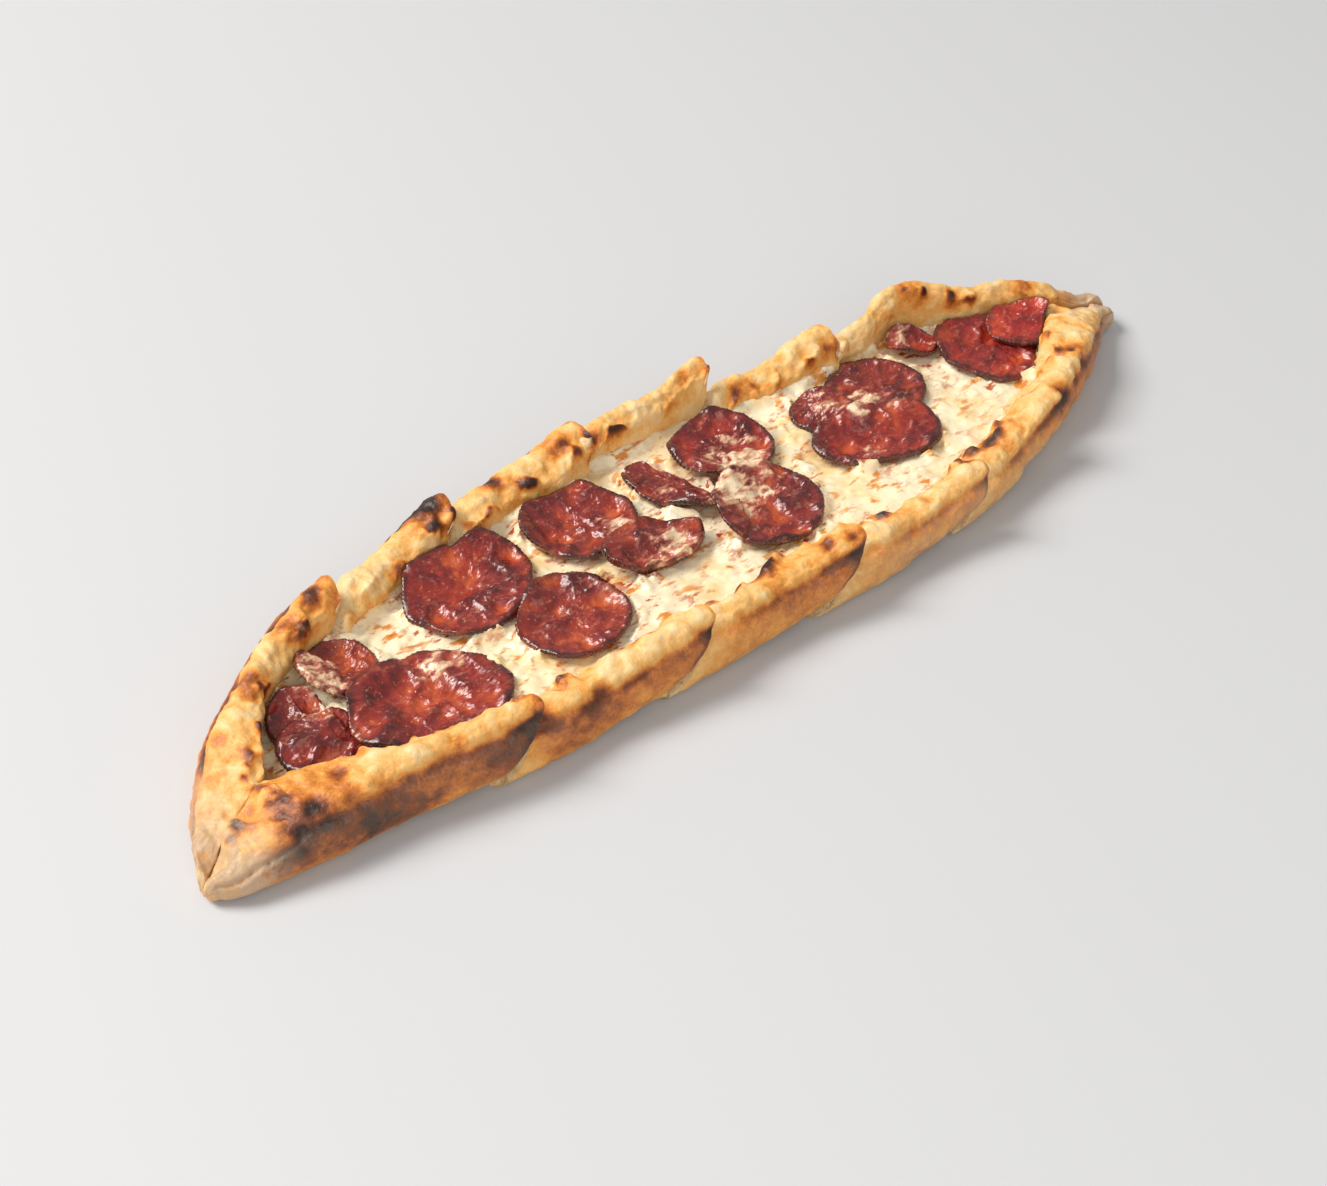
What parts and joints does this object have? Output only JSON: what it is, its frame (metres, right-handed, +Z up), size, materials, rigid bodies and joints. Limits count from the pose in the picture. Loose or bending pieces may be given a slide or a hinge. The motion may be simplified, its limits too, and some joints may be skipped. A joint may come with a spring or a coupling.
{
  "type": "turkish pide",
  "caption": "Boat-shaped flatbread with a folded, browned rim and pinched tips, filled with melted cheese and rounds of spiced sausage, and cut on the bias into slices that keep its shape.",
  "frame": {"origin": "middle of the bounding box, on the surface that the pide lies on", "axes": "+X along the boat, from the tip on the picture's left to the tip on its right, +Y across it, away from the viewer, +Z up"},
  "size_m": [0.448, 0.13, 0.0314],
  "materials": {
    "dough": "baked crust, golden with brown blisters and a little flour",
    "cheese": "melted cheese, ivory, softly glossy",
    "sausage": "baked cured sausage, dark red, oily"
  },
  "bodies": {
    "root": {"dough_1": "dough", "cheese_1": "cheese", "dough_2": "dough", "cheese_2": "cheese", "dough_3": "dough", "cheese_3": "cheese", "dough_4": "dough", "cheese_4": "cheese", "dough_5": "dough", "cheese_5": "cheese", "dough_6": "dough", "cheese_6": "cheese", "sucuk_01": "sausage", "sucuk_02": "sausage", "sucuk_03": "sausage", "sucuk_04": "sausage", "sucuk_05": "sausage", "sucuk_06": "sausage", "sucuk_07": "sausage", "sucuk_08": "sausage", "sucuk_09": "sausage", "sucuk_10": "sausage", "sucuk_11": "sausage", "sucuk_12": "sausage", "sucuk_13": "sausage", "sucuk_14": "sausage", "sucuk_15": "sausage", "sucuk_16": "sausage", "sucuk_17": "sausage"}
  },
  "joints": []
}
